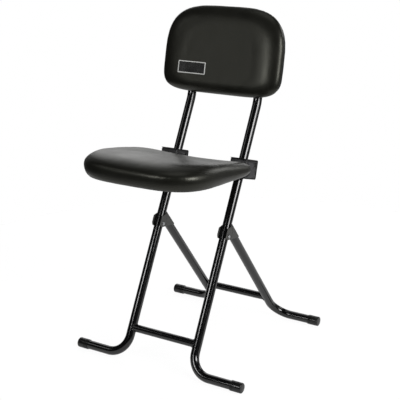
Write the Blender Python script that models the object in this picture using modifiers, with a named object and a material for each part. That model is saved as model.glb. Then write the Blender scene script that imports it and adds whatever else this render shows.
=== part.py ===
"""Folding sit-stand stool.

Two leaning front tubes carry a padded backrest. A rear frame folds on rivets through the tubes, and a
padded seat slides along them on clamps that jam when the seat is loaded and let go when its front is lifted.
Metres, +Z up, the front of the stool faces -Y. The floor is Z = 0.
"""

import math

import bmesh
import bpy
from mathutils import Matrix, Vector

# Clearances
GAP = 0.0003
HOLE_CLEARANCE = 0.0003

# Frame tubes
TUBE_RADIUS = 0.0127
TUBE_WALL = 0.0015
BAR_RADIUS = 0.011
BAR_WALL = 0.0012
TUBE_SPACING = 0.220
FRONT_LEAN = math.radians(27.5)
BASE_DEPTH = 0.5015
FRONT_FOOT_SPAN = 0.548
REAR_FOOT_SPAN = 0.528
FOOT_BEND_RADIUS = 0.058
FRONT_BAR_HEIGHT = 0.0865
REAR_BAR_HEIGHT = 0.0835
BACK_BEND_HEIGHT = 0.708
BACK_BEND_RADIUS = 0.100
BACK_LEAN = math.radians(12)
TUBE_ABOVE_BEND = 0.232

# Foot caps and tube plugs
CAP_RADIUS = 0.0145
CAP_LENGTH = 0.034
CAP_END_WALL = 0.004
CAP_CHAMFER = 0.002
PLUG_HEAD = 0.003
PLUG_DEPTH = 0.016

# Folding pivot
PIVOT_HEIGHT = 0.362
REAR_LEG_CLEARANCE = 0.0016
REAR_LEG_START = 0.010
RIVET_RADIUS = 0.003
RIVET_HEAD_RADIUS = 0.0055
RIVET_HEAD_HEIGHT = 0.0025
BRACKET_SHEET = 0.002
BRACKET_SIDE_GAP = 0.0005
BRACKET_NOSE_RADIUS = 0.011
BRACKET_NOSE_LEAD = 0.004
BRACKET_LENGTH = 0.060
BRACKET_BROW_RISE = 0.018

# Slider that runs on the front tubes
SEAT_ALONG_TUBE = 0.1974
SLEEVE_BORE_GAP = 0.0003
SLEEVE_WALL = 0.0032
SLEEVE_LENGTH = 0.028
SLEEVE_DROP = 0.0135
ROD_RADIUS = 0.004
ROD_DROP = 0.0175
LUG_WALL = 0.0024
ROD_END_PLAY = 0.0005
ROD_CAP_RADIUS = 0.007
ROD_CAP_LENGTH = 0.006
ROD_CAP_END_WALL = 0.0015

# Seat clamps
CLAMP_LEAN = math.radians(15.5)
CLAMP_HEIGHT = 0.055
CLAMP_SHEET = 0.0025
CLAMP_CORNER_RADIUS = 0.0033
CLAMP_SIDE_GAP = 0.0023
CLAMP_OUTER_ROOM = 0.012
WEB_GAP = 0.0013
LOCK_PIN_RADIUS = 0.004
LOCK_PIN_RISE = 0.018
LOCK_PIN_EDGE = 0.0028

# Seat
SEAT_WIDTH = 0.388
SEAT_DEPTH = 0.36443
SEAT_TILT = math.radians(3)
SEAT_AHEAD_OF_WEB = 0.0097
SEAT_RISE = 0.0083
SEAT_UNDER = 0.012
SEAT_REAR_TOP = 0.0167
SEAT_FRONT_TOP = 0.0513
SEAT_FRONT_RIM = 0.0243
SEAT_SWELL_LENGTH = 0.98
SEAT_DISH = 0.0125
SEAT_DISH_LENGTH = 0.56
SEAT_RIM_POWER = 1.15
SEAT_FRONT_ROUND = 0.44
SEAT_SIDE_ROUND = 0.165
SEAT_UNDER_ROUND = 0.08
SEAT_FRONT_ROUND_POWER = 3.0
SEAT_CORNER_FRONT = 3.40
SEAT_CORNER_REAR = 6.0
PAN_MARGIN = 0.055
PAN_THICKNESS = 0.007
ARM_WIDTH = 0.022
ARM_HEIGHT = 0.010
ARM_WALL = 0.0015
ARM_REACH = 0.215
SEAT_SCREW_FIRST = 0.085
SEAT_SCREW_FROM_END = 0.030

# Backrest
BACK_WIDTH = 0.386
BACK_HEIGHT = 0.253
BACK_ABOVE_BEND = 0.1385
BACK_WIDEST = 0.36
BACK_THICKNESS = 0.036
BACK_RIM = 0.011
BACK_WRAP = 0.0066
BACK_ROUND = 0.31
BACK_REAR_ROUND = 0.10
BACK_CORNER_TOP = 3.45
BACK_CORNER_BOTTOM = 4.7
PANEL_MARGIN = 0.006
PANEL_THICKNESS = 0.005
PANEL_EDGE = 0.0015
BACK_SCREW_PITCH = 0.140

# Screws
SCREW_RADIUS = 0.003
SCREW_HEAD_RADIUS = 0.006
SCREW_HEAD_HEIGHT = 0.003

# Roundness of the solids
TUBE_BEVEL_RESOLUTION = 4
TUBE_SIDES = 4 + 2 * TUBE_BEVEL_RESOLUTION
NOSE_STEPS = 8
TURN_STEPS = 16
SCREW_STEPS = 12
HOLE_SEGMENTS = 24
OUTLINE_POINTS = 48
BEND_STEP = math.radians(12)
PAD_RINGS = (1.0, 0.99, 0.965, 0.93, 0.88, 0.80, 0.70, 0.55, 0.35, 0.15)
PAD_UNDER_RINGS = (0.985, 0.95, 0.90, 0.60, 0.30)

# Values that follow from the ones above
SIDES = {"left": -1, "right": 1}
FOOT_HEIGHT = CAP_RADIUS
TUBE_X = TUBE_SPACING / 2
TUBE_UP = Vector((0, math.sin(FRONT_LEAN), math.cos(FRONT_LEAN)))
TUBE_BACK = Vector((0, math.cos(FRONT_LEAN), -math.sin(FRONT_LEAN)))
BACK_UP = Vector((0, math.sin(BACK_LEAN), math.cos(BACK_LEAN)))
BACK_FRONT = Vector((0, -math.cos(BACK_LEAN), math.sin(BACK_LEAN)))
TUBE_BORE = TUBE_RADIUS - TUBE_WALL
BRACKET_INSIDE = TUBE_RADIUS + BRACKET_SIDE_GAP
BRACKET_OUTSIDE = BRACKET_INSIDE + BRACKET_SHEET
REAR_LEG_OFFSET = 2 * TUBE_RADIUS + REAR_LEG_CLEARANCE
WEB_OUTSIDE = REAR_LEG_OFFSET + BRACKET_OUTSIDE
SLEEVE_RADIUS = TUBE_RADIUS + SLEEVE_BORE_GAP + SLEEVE_WALL
ROD_LEAD = TUBE_RADIUS + SLEEVE_BORE_GAP + LUG_WALL + HOLE_CLEARANCE + ROD_RADIUS
LUG_RADIUS = ROD_RADIUS + HOLE_CLEARANCE + LUG_WALL
CLAMP_INSIDE_IN = SLEEVE_RADIUS + CLAMP_SIDE_GAP
CLAMP_INSIDE_OUT = CLAMP_INSIDE_IN + CLAMP_OUTER_ROOM
LUG_HALF_WIDTH = CLAMP_INSIDE_IN - ROD_END_PLAY


def on_front_tube(height):
    """Point of the front tubes' axis, seen from the side, at this height."""
    return Vector((0, (height - FOOT_HEIGHT) * math.tan(FRONT_LEAN), height))


PIVOT = on_front_tube(PIVOT_HEIGHT)
BACK_BEND = on_front_tube(BACK_BEND_HEIGHT)
REAR_FOOT = Vector((0, BASE_DEPTH, FOOT_HEIGHT))
PIVOT_TO_FOOT = REAR_FOOT - PIVOT
REAR_LEAN = math.atan2(PIVOT_TO_FOOT.y, -PIVOT_TO_FOOT.z) - math.asin(REAR_LEG_OFFSET / PIVOT_TO_FOOT.length)
LEG_DOWN = Vector((0, math.sin(REAR_LEAN), -math.cos(REAR_LEAN)))
LEG_OUT = Vector((0, math.cos(REAR_LEAN), math.sin(REAR_LEAN)))
LEG_ORIGIN = LEG_OUT * REAR_LEG_OFFSET

CLAMP_CENTRE = PIVOT + TUBE_UP * SEAT_ALONG_TUBE
CLAMP_TURN = Matrix.Rotation(-CLAMP_LEAN, 3, "X")
ROD_CENTRE = CLAMP_CENTRE - TUBE_UP * ROD_DROP - TUBE_BACK * ROD_LEAD
LOCK_PIN_CENTRE = CLAMP_CENTRE + TUBE_UP * LOCK_PIN_RISE + TUBE_BACK * (TUBE_RADIUS + GAP + LOCK_PIN_RADIUS)
WEB_FACE = (CLAMP_TURN.transposed() @ (ROD_CENTRE - CLAMP_CENTRE)).y - LUG_RADIUS - WEB_GAP
CHEEK_REAR = (CLAMP_TURN.transposed() @ (LOCK_PIN_CENTRE - CLAMP_CENTRE)).y + LOCK_PIN_RADIUS + LOCK_PIN_EDGE
SEAT_REAR = CLAMP_CENTRE + CLAMP_TURN @ Vector((0, WEB_FACE - CLAMP_SHEET - SEAT_AHEAD_OF_WEB, SEAT_RISE))
SEAT_TURN = Matrix.Rotation(-SEAT_TILT, 3, "X")
PAN_TOP = -SEAT_UNDER - GAP
ARM_TOP = PAN_TOP - PAN_THICKNESS - GAP
BACK_TURN = math.pi / 2 - BACK_LEAN
BACK_CENTRE = BACK_BEND + BACK_UP * BACK_ABOVE_BEND + BACK_FRONT * (TUBE_RADIUS + GAP)

# The origin is under the middle of the stool's box, between the seat's front and the rear feet
REARMOST = BASE_DEPTH + CAP_RADIUS
FOREMOST = SEAT_REAR.y - SEAT_DEPTH * math.cos(SEAT_TILT) + SEAT_FRONT_RIM * math.sin(SEAT_TILT)
ORIGIN_SHIFT = -(REARMOST + FOREMOST) / 2


def linear(hex_colour):
    """Linear RGBA of an sRGB hex colour."""
    channels = [int(hex_colour[i : i + 2], 16) / 255 for i in (1, 3, 5)]
    return [c / 12.92 if c <= 0.04045 else ((c + 0.055) / 1.055) ** 2.4 for c in channels] + [1]


def finish(name, hex_colour, roughness, metallic=0.0):
    """Principled material of one colour."""
    material = bpy.data.materials.new(name)
    material.use_nodes = True
    shader = material.node_tree.nodes["Principled BSDF"]
    shader.inputs["Base Color"].default_value = linear(hex_colour)
    shader.inputs["Roughness"].default_value = roughness
    shader.inputs["Metallic"].default_value = metallic
    return material


def collection(name):
    """New collection in the scene."""
    made = bpy.data.collections.new(name)
    bpy.context.scene.collection.children.link(made)
    return made


for old in list(bpy.data.objects):
    bpy.data.objects.remove(old, do_unlink=True)
PARTS = collection("folding_sit_stand_stool")
CUTTERS = collection("cutters")
CUTTERS.hide_render = True

BLACK_ENAMEL = finish("black_enamel", "#0b0b0c", 0.18)
BLACK_VINYL = finish("black_vinyl", "#1d1c1a", 0.45)
RUBBER = finish("black_rubber", "#1c1c1d", 0.7)
GREY_STEEL = finish("grey_powder_coat", "#2c2c2e", 0.55)
ZINC = finish("zinc_plate", "#b9bbbd", 0.3, 1.0)
NYLON = finish("black_nylon", "#202022", 0.5)
BOARD = finish("dark_board", "#2b2724", 0.7)


def empty(name, location, parent=None):
    """Empty that carries a sub-assembly."""
    made = bpy.data.objects.new(name, None)
    made.location = location
    made.parent = parent
    PARTS.objects.link(made)
    return made


STOOL = empty("stool", (0, ORIGIN_SHIFT, 0))
REAR_AXIS = empty("rear_frame_axis", PIVOT, STOOL)
SLIDER = empty("slider_axis", CLAMP_CENTRE, STOOL)
SEAT_AXIS = empty("seat_hinge_axis", ROD_CENTRE - CLAMP_CENTRE, SLIDER)


def add(name, data, parent, material, location=(0, 0, 0), turn=(0, 0, 0)):
    """Object of this data among the parts."""
    made = bpy.data.objects.new(name, data)
    made.parent = parent
    made.location = location
    made.rotation_euler = turn
    PARTS.objects.link(made)
    data.materials.append(material)
    return made


def as_mesh(obj):
    """The object remade as a plain mesh, welded, with the same name, parent and material."""
    bpy.context.view_layer.update()
    graph = bpy.context.evaluated_depsgraph_get()
    mesh = bpy.data.meshes.new_from_object(obj.evaluated_get(graph))
    bm = bmesh.new()
    bm.from_mesh(mesh)
    bmesh.ops.remove_doubles(bm, verts=bm.verts, dist=0.00001)
    bm.to_mesh(mesh)
    bm.free()
    name, parent, matrix = obj.name, obj.parent, obj.matrix_local.copy()
    bpy.data.objects.remove(obj, do_unlink=True)
    made = bpy.data.objects.new(name, mesh)
    made.parent = parent
    made.matrix_local = matrix
    PARTS.objects.link(made)
    return made


def smooth(obj, angle=math.radians(35)):
    """Smooth shading with edges sharper than the angle kept."""
    obj.data.shade_smooth()
    obj.data.set_sharp_from_angle(angle=angle)


def rod_mesh(name, radius, length, segments):
    """Solid rod along local Z, centred."""
    bm = bmesh.new()
    bmesh.ops.create_cone(
        bm, cap_ends=True, segments=segments, radius1=radius, radius2=radius, depth=length
    )
    mesh = bpy.data.meshes.new(name)
    bm.to_mesh(mesh)
    bm.free()
    return mesh


def box_mesh(name, low, high):
    """Box between two corners."""
    bm = bmesh.new()
    bmesh.ops.create_cube(bm, size=1)
    low, high = Vector(low), Vector(high)
    bmesh.ops.scale(bm, vec=high - low, verts=bm.verts)
    bmesh.ops.translate(bm, vec=(low + high) / 2, verts=bm.verts)
    mesh = bpy.data.meshes.new(name)
    bm.to_mesh(mesh)
    bm.free()
    return mesh


def boolean(obj, mesh, location, turn, operation="DIFFERENCE"):
    """Boolean of the object with a helper mesh, placed in the object's parent's frame."""
    helper = bpy.data.objects.new(f"{obj.name}_{operation.lower()}_{len(obj.modifiers)}", mesh)
    helper.parent = obj.parent
    helper.location = location
    helper.rotation_euler = turn
    helper.hide_render = True
    helper.display_type = "WIRE"
    CUTTERS.objects.link(helper)
    modifier = obj.modifiers.new(helper.name, "BOOLEAN")
    modifier.operation = operation
    modifier.solver = "EXACT"
    modifier.object = helper


def drill(obj, radius, length, location, turn):
    """Round hole through the object, centred on the location and along the turned Z."""
    boolean(obj, rod_mesh("drill", radius, length, HOLE_SEGMENTS), location, turn)


ALONG_X = (0, math.pi / 2, 0)


def turned(name, profile, steps, parent, material, location, turn):
    """Turned piece: a profile of (radius, height), down its outer side, spun round local Z."""
    phase = math.pi / steps
    mesh = bpy.data.meshes.new(name)
    points = [(r * math.cos(phase), r * math.sin(phase), z) for r, z in profile]
    mesh.from_pydata(points, [(i, i + 1) for i in range(len(points) - 1)], [])
    obj = add(name, mesh, parent, material, location, turn)
    screw = obj.modifiers.new("turn", "SCREW")
    screw.axis = "Z"
    screw.steps = screw.render_steps = steps
    screw.use_merge_vertices = True
    screw.merge_threshold = 0.00001
    return obj


def across_flats(radius, steps):
    """Corner radius of a turned piece with this radius to its flats."""
    return radius / math.cos(math.pi / steps)


def dome(radius, height, points=3):
    """Profile of a low domed head, from its crown down to its edge."""
    angles = [math.pi / 2 * (1 - i / points) for i in range(points + 1)]
    return [(radius * math.cos(a) if i else 0, height * math.sin(a)) for i, a in enumerate(angles)]


def bent_path(corners):
    """Points of a tube's axis through corners of (point, bend radius), with each bend an arc."""
    path = [corners[0][0]]
    for (before, _), (corner, radius), (after, _) in zip(corners, corners[1:], corners[2:]):
        arriving, leaving = (corner - before).normalized(), (after - corner).normalized()
        bend = arriving.angle(leaving)
        start = corner - arriving * radius * math.tan(bend / 2)
        inward = (leaving - arriving * arriving.dot(leaving)).normalized()
        steps = max(2, round(bend / BEND_STEP))
        for step in range(steps + 1):
            angle = bend * step / steps
            path.append(start + arriving * radius * math.sin(angle) + inward * radius * (1 - math.cos(angle)))
    path.append(corners[-1][0])
    return path


def tube(name, path, radius, wall, parent):
    """Hollow steel tube with open ends along a path, as a mesh."""
    curve = bpy.data.curves.new(name, "CURVE")
    curve.dimensions = "3D"
    curve.bevel_depth = radius
    curve.bevel_resolution = TUBE_BEVEL_RESOLUTION
    spline = curve.splines.new("POLY")
    spline.points.add(len(path) - 1)
    for point, place in zip(spline.points, path):
        point.co = (*place, 1)
    obj = add(name, curve, parent, BLACK_ENAMEL)
    shell = obj.modifiers.new("wall", "SOLIDIFY")
    shell.thickness = wall
    shell.offset = -1
    obj = as_mesh(obj)
    smooth(obj)
    return obj


def prism_mesh(name, outline, thickness):
    """Flat prism of a closed outline in local XY, centred on local Z = 0."""
    bm = bmesh.new()
    face = bm.faces.new([bm.verts.new((x, y, -thickness / 2)) for x, y in outline])
    raised = bmesh.ops.extrude_face_region(bm, geom=[face])["geom"]
    lifted = [item for item in raised if isinstance(item, bmesh.types.BMVert)]
    bmesh.ops.translate(bm, vec=(0, 0, thickness), verts=lifted)
    bmesh.ops.recalc_face_normals(bm, faces=bm.faces)
    mesh = bpy.data.meshes.new(name)
    bm.to_mesh(mesh)
    bm.free()
    return mesh


def power(value, exponent):
    """Signed power."""
    return math.copysign(abs(value) ** exponent, value)


def pad_outline(half_width, upper, lower, upper_corner, lower_corner):
    """Outline of a pad about its widest line: two halves of superellipses of unlike height and squareness."""
    points = []
    for i in range(OUTLINE_POINTS):
        angle = math.tau * i / OUTLINE_POINTS
        height, corner = (upper, upper_corner) if math.sin(angle) >= 0 else (lower, lower_corner)
        points.append(
            (half_width * power(math.cos(angle), 2 / corner), height * power(math.sin(angle), 2 / corner))
        )
    return points


def roundness(scale, edge):
    """Height of a rounded edge, 0 at the rim and 1 where the edge ends, as a share of the full height."""
    across = max(0.0, (scale - 1 + edge) / edge)
    return math.sqrt(max(0.0, 1 - across * across))


def pad_mesh(name, outline, top, under):
    """Closed pad lofted from rings of its outline, with heights given by functions of x, y and the ring's scale."""
    bm = bmesh.new()

    def ring(scale, height):
        return [
            bm.verts.new((x * scale, y * scale, height(x * scale, y * scale, scale))) for x, y in outline
        ]

    def join(first, second):
        for i in range(len(first)):
            j = (i + 1) % len(first)
            bm.faces.new((first[i], first[j], second[j], second[i]))

    rings = [ring(s, under) for s in reversed(PAD_UNDER_RINGS)] + [ring(s, top) for s in PAD_RINGS]
    for first, second in zip(rings, rings[1:]):
        join(first, second)
    lowest, crown = bm.verts.new((0, 0, under(0, 0, 0))), bm.verts.new((0, 0, top(0, 0, 0)))
    for i in range(len(outline)):
        j = (i + 1) % len(outline)
        bm.faces.new((rings[0][j], rings[0][i], lowest))
        bm.faces.new((rings[-1][i], rings[-1][j], crown))
    bmesh.ops.recalc_face_normals(bm, faces=bm.faces)
    mesh = bpy.data.meshes.new(name)
    bm.to_mesh(mesh)
    bm.free()
    return mesh


def screw(name, length, parent, location, turn):
    """Pan head screw along local Z, its head's seat at local Z = 0 and its shank going up."""
    head = [(r, -z) for r, z in dome(SCREW_HEAD_RADIUS, SCREW_HEAD_HEIGHT)]
    profile = [(0, length), (SCREW_RADIUS, length), (SCREW_RADIUS, 0)] + head[::-1]
    turned(name, profile, SCREW_STEPS, parent, ZINC, location, turn)


def foot_cap(name, foot, span, side, parent):
    """Rubber cup on a foot's end."""
    outer, bore = across_flats(CAP_RADIUS, TURN_STEPS), across_flats(TUBE_RADIUS + GAP, TURN_STEPS)
    profile = [
        (0, 0),
        (outer - CAP_CHAMFER, 0),
        (outer, -CAP_CHAMFER),
        (outer, -CAP_LENGTH),
        (bore, -CAP_LENGTH),
        (bore, -CAP_END_WALL),
        (0, -CAP_END_WALL),
    ]
    end = foot + Vector((side * span / 2, 0, 0))
    turned(name, profile, TURN_STEPS, parent, RUBBER, end, (0, side * math.pi / 2, 0))


def crossbar(name, centre, leg_turn, parent):
    """Tube between two legs, its ends shaped to the legs they are welded to."""
    reach = Vector((TUBE_X, 0, 0))
    bar = tube(name, [centre - reach, centre + reach], BAR_RADIUS, BAR_WALL, parent)
    for side in SIDES.values():
        drill(bar, TUBE_RADIUS + GAP, 4 * BAR_RADIUS, centre + side * reach, leg_turn)


def front_frame():
    """Front tubes with their crossbar, feet and plugs."""
    foot = Vector((0, 0, FOOT_HEIGHT))
    top = BACK_BEND + BACK_UP * TUBE_ABOVE_BEND
    for name, side in SIDES.items():
        across = Vector((side * TUBE_X, 0, 0))
        foot_end = Vector((side * (FRONT_FOOT_SPAN / 2 - CAP_END_WALL - GAP), 0, 0))
        path = bent_path(
            [
                (foot + foot_end, 0),
                (foot + across, FOOT_BEND_RADIUS),
                (BACK_BEND + across, BACK_BEND_RADIUS),
                (top + across, 0),
            ]
        )
        leg = tube(f"front_leg_{name}", path, TUBE_RADIUS, TUBE_WALL, STOOL)
        drill(leg, RIVET_RADIUS + HOLE_CLEARANCE, 4 * TUBE_RADIUS, PIVOT + across, ALONG_X)
        for rise in (-BACK_SCREW_PITCH / 2, BACK_SCREW_PITCH / 2):
            place = BACK_BEND + BACK_UP * (BACK_ABOVE_BEND + rise) + across
            drill(leg, SCREW_RADIUS + HOLE_CLEARANCE, 4 * TUBE_RADIUS, place, (BACK_TURN, 0, 0))
        foot_cap(f"front_foot_cap_{name}", foot, FRONT_FOOT_SPAN, side, STOOL)
        stem = TUBE_BORE * math.cos(math.pi / TUBE_SIDES) - GAP
        profile = dome(TUBE_RADIUS, PLUG_HEAD) + [(stem, 0), (stem, -PLUG_DEPTH), (0, -PLUG_DEPTH)]
        place = top + across + BACK_UP * GAP
        turned(f"tube_plug_{name}", profile, TURN_STEPS, STOOL, NYLON, place, (-BACK_LEAN, 0, 0))
    crossbar("front_crossbar", on_front_tube(FRONT_BAR_HEIGHT), (-FRONT_LEAN, 0, 0), STOOL)


def pivot_rivets():
    """Rivets through the front tubes and the brackets' cheeks, domed at both ends."""
    seat = BRACKET_OUTSIDE + GAP
    head = [(r, z + seat) for r, z in dome(RIVET_HEAD_RADIUS, RIVET_HEAD_HEIGHT)]
    half = head + [(RIVET_RADIUS, seat)]
    profile = half + [(r, -z) for r, z in reversed(half)]
    for name, side in SIDES.items():
        place = PIVOT + Vector((side * TUBE_X, 0, 0))
        turned(f"pivot_rivet_{name}", profile, TURN_STEPS, STOOL, ZINC, place, ALONG_X)


def bracket_outline():
    """Side view of a pivot bracket as (back, up) from the rivet: a nose round the rivet and a channel up the leg."""
    centre = -TUBE_BACK * BRACKET_NOSE_LEAD
    corners = [
        centre + TUBE_UP * BRACKET_BROW_RISE - TUBE_BACK * BRACKET_NOSE_RADIUS,
        stop_point(WEB_OUTSIDE - BRACKET_SHEET),
        stop_point(WEB_OUTSIDE),
        LEG_OUT * WEB_OUTSIDE + LEG_DOWN * BRACKET_LENGTH,
    ]
    low_edge = corners[-1] - centre
    last = math.atan2(low_edge.z, low_edge.y) - math.acos(BRACKET_NOSE_RADIUS / low_edge.length)
    first = math.atan2(-TUBE_BACK.z, -TUBE_BACK.y)
    sweep = (last - first) % math.tau
    outline = [(c.y, c.z) for c in corners]
    for i in range(NOSE_STEPS + 1):
        angle = first + sweep * (1 - i / NOSE_STEPS)
        outline.append(
            (centre.y + BRACKET_NOSE_RADIUS * math.cos(angle), centre.z + BRACKET_NOSE_RADIUS * math.sin(angle))
        )
    return outline


def bracket_section():
    """Cut across a pivot bracket, as (across, out) from the leg's axis: a sheet wrapped round the back of the leg."""
    bends = [math.pi * i / TURN_STEPS for i in range(TURN_STEPS + 1)]
    front = REAR_LEG_OFFSET + 2 * (BRACKET_NOSE_RADIUS + BRACKET_NOSE_LEAD)
    outside = [(BRACKET_OUTSIDE * math.cos(a), BRACKET_OUTSIDE * math.sin(a)) for a in bends]
    inside = [(BRACKET_INSIDE * math.cos(a), BRACKET_INSIDE * math.sin(a)) for a in reversed(bends)]
    return (
        [(BRACKET_OUTSIDE, -front)]
        + outside
        + [(-BRACKET_OUTSIDE, -front), (-BRACKET_INSIDE, -front)]
        + inside
        + [(BRACKET_INSIDE, -front)]
    )


def stop_point(offset):
    """Point of the web's upper end, at this offset from the rivet: it stops on the back of the front tube."""
    reach = TUBE_RADIUS + GAP - offset * LEG_OUT.dot(TUBE_BACK)
    return LEG_OUT * offset + LEG_DOWN * (reach / LEG_DOWN.dot(TUBE_BACK))


def rear_frame():
    """Rear tubes with their crossbar, feet and pivot brackets, about the rivets' axis."""
    foot = REAR_FOOT - PIVOT
    for name, side in SIDES.items():
        across = Vector((side * TUBE_X, 0, 0))
        foot_end = Vector((side * (REAR_FOOT_SPAN / 2 - CAP_END_WALL - GAP), 0, 0))
        top = LEG_ORIGIN + LEG_DOWN * REAR_LEG_START
        path = bent_path([(foot + foot_end, 0), (foot + across, FOOT_BEND_RADIUS), (top + across, 0)])
        tube(f"rear_leg_{name}", path, TUBE_RADIUS, TUBE_WALL, REAR_AXIS)
        foot_cap(f"rear_foot_cap_{name}", foot, REAR_FOOT_SPAN, side, REAR_AXIS)
        section = prism_mesh("pivot_bracket", bracket_section(), 4 * BRACKET_LENGTH)
        place = LEG_ORIGIN + across
        bracket = add(f"pivot_bracket_{name}", section, REAR_AXIS, GREY_STEEL, place, (REAR_LEAN, 0, 0))
        blank = prism_mesh("blank", bracket_outline(), 4 * BRACKET_OUTSIDE)
        boolean(bracket, blank, across, (math.pi / 2, 0, math.pi / 2), "INTERSECT")
        drill(bracket, RIVET_RADIUS + HOLE_CLEARANCE, 4 * BRACKET_OUTSIDE, across, ALONG_X)
    along = (REAR_BAR_HEIGHT - PIVOT_HEIGHT - LEG_ORIGIN.z) / LEG_DOWN.z
    crossbar("rear_crossbar", LEG_ORIGIN + LEG_DOWN * along, (REAR_LEAN, 0, 0), REAR_AXIS)


def slider():
    """Nylon sleeves on the tubes, and the rod through them that the seat hinges on."""
    rod = ROD_CENTRE - CLAMP_CENTRE
    cap_seat = TUBE_X + CLAMP_INSIDE_OUT + CLAMP_SHEET + GAP
    rod_end = cap_seat + ROD_CAP_LENGTH - ROD_CAP_END_WALL - GAP
    add("hinge_rod", rod_mesh("hinge_rod", ROD_RADIUS, 2 * rod_end, TURN_STEPS), SLIDER, ZINC, rod, ALONG_X)
    cap_outer = across_flats(ROD_CAP_RADIUS, TURN_STEPS)
    cap_bore = across_flats(ROD_RADIUS + GAP, TURN_STEPS)
    cap_profile = dome(cap_outer, ROD_CAP_END_WALL) + [
        (cap_outer, ROD_CAP_END_WALL - ROD_CAP_LENGTH),
        (cap_bore, ROD_CAP_END_WALL - ROD_CAP_LENGTH),
        (cap_bore, -GAP),
        (0, -GAP),
    ]
    spacer_length = CLAMP_INSIDE_OUT - LUG_HALF_WIDTH - 2 * ROD_END_PLAY
    spacer_bore = across_flats(ROD_RADIUS + HOLE_CLEARANCE, TURN_STEPS)
    spacer_profile = [
        (spacer_bore, spacer_length / 2),
        (LUG_RADIUS, spacer_length / 2),
        (LUG_RADIUS, -spacer_length / 2),
        (spacer_bore, -spacer_length / 2),
        (spacer_bore, spacer_length / 2),
    ]
    for name, side in SIDES.items():
        across = Vector((side * TUBE_X, 0, 0))
        middle = across - TUBE_UP * SLEEVE_DROP
        lean = (-FRONT_LEAN, 0, 0)
        mesh = rod_mesh("sleeve", SLEEVE_RADIUS, SLEEVE_LENGTH, HOLE_SEGMENTS)
        sleeve = add(f"slider_sleeve_{name}", mesh, SLIDER, NYLON, middle, lean)
        lug = rod_mesh("lug", LUG_RADIUS, 2 * LUG_HALF_WIDTH, TURN_STEPS)
        boolean(sleeve, lug, across + rod, ALONG_X, "UNION")
        bore = (TUBE_RADIUS + SLEEVE_BORE_GAP) / math.cos(math.pi / HOLE_SEGMENTS)
        drill(sleeve, bore, 2 * SLEEVE_LENGTH, middle, lean)
        drill(sleeve, ROD_RADIUS + HOLE_CLEARANCE, 4 * LUG_HALF_WIDTH, across + rod, ALONG_X)
        outward = (0, side * math.pi / 2, 0)
        place = rod + Vector((side * (cap_seat + ROD_CAP_LENGTH - ROD_CAP_END_WALL), 0, 0))
        turned(f"rod_cap_{name}", cap_profile, TURN_STEPS, SLIDER, NYLON, place, outward)
        place = rod + across + Vector((side * (LUG_HALF_WIDTH + CLAMP_INSIDE_OUT) / 2, 0, 0))
        turned(f"rod_spacer_{name}", spacer_profile, TURN_STEPS, SLIDER, NYLON, place, ALONG_X)


def clamp_profile(side):
    """Plan of a clamp's sheet at mid thickness: a channel open to the rear, its corners bent round."""
    half = CLAMP_SHEET / 2
    outer, inner = side * (CLAMP_INSIDE_OUT + half), -side * (CLAMP_INSIDE_IN + half)
    front = WEB_FACE - half
    radius = CLAMP_CORNER_RADIUS
    return bent_path(
        [
            (Vector((outer, CHEEK_REAR, 0)), 0),
            (Vector((outer, front, 0)), radius),
            (Vector((inner, front, 0)), radius),
            (Vector((inner, CHEEK_REAR, 0)), 0),
        ]
    )


def seat_clamps():
    """Folded channels round the tubes, with the pins that lock on them."""
    centre = CLAMP_CENTRE - ROD_CENTRE
    pin = LOCK_PIN_CENTRE - ROD_CENTRE
    pin_length = CLAMP_INSIDE_IN + CLAMP_INSIDE_OUT + 2 * CLAMP_SHEET + 2 * LOCK_PIN_EDGE
    pin_middle = (CLAMP_INSIDE_OUT - CLAMP_INSIDE_IN) / 2
    for name, side in SIDES.items():
        across = Vector((side * TUBE_X, 0, 0))
        curve = bpy.data.curves.new(f"seat_clamp_{name}", "CURVE")
        curve.dimensions = "2D"
        curve.fill_mode = "NONE"
        curve.extrude = CLAMP_HEIGHT / 2
        path = clamp_profile(side)
        spline = curve.splines.new("POLY")
        spline.points.add(len(path) - 1)
        for point, place in zip(spline.points, path):
            point.co = (*place, 1)
        clamp = add(curve.name, curve, SEAT_AXIS, GREY_STEEL, centre + across, (-CLAMP_LEAN, 0, 0))
        sheet = clamp.modifiers.new("sheet", "SOLIDIFY")
        sheet.thickness = CLAMP_SHEET
        sheet.offset = 0
        clamp = as_mesh(clamp)
        smooth(clamp)
        for radius, place in ((ROD_RADIUS, across), (LOCK_PIN_RADIUS, pin + across)):
            drill(clamp, radius + HOLE_CLEARANCE, 2 * pin_length, place, ALONG_X)
        mesh = rod_mesh("lock_pin", LOCK_PIN_RADIUS, pin_length, TURN_STEPS)
        place = pin + across + Vector((side * pin_middle, 0, 0))
        add(f"lock_pin_{name}", mesh, SEAT_AXIS, ZINC, place, ALONG_X)


def seat_outline(margin=0.0):
    """Seat seen from above about its widest line, with a margin taken off all round."""
    half = SEAT_DEPTH / 2 - margin
    return pad_outline(SEAT_WIDTH / 2 - margin, half, half, SEAT_CORNER_REAR, SEAT_CORNER_FRONT)


def seat_top(x, y, scale):
    """Height of the pad's top: rising from a thin dished rear to a thick front roll."""
    forward = 0.5 - y / SEAT_DEPTH
    swell = math.sin(math.pi / 2 * min(1.0, forward / SEAT_SWELL_LENGTH))
    across = 2 * x / SEAT_WIDTH
    dish = SEAT_DISH * (1 - across * across) * max(0.0, 1 - forward / SEAT_DISH_LENGTH)
    full = SEAT_REAR_TOP + (SEAT_FRONT_TOP - SEAT_REAR_TOP) * swell
    rim = seat_rim(forward)
    facing_front = max(0.0, -2 * y / (SEAT_DEPTH * max(scale, 0.01))) ** SEAT_FRONT_ROUND_POWER
    edge = SEAT_SIDE_ROUND + (SEAT_FRONT_ROUND - SEAT_SIDE_ROUND) * facing_front
    return rim + (full - dish - rim) * roundness(scale, edge)


def seat_rim(forward):
    """Height of the pad's rim, from the rear to the front."""
    return SEAT_FRONT_RIM * max(0.0, forward) ** SEAT_RIM_POWER


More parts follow.
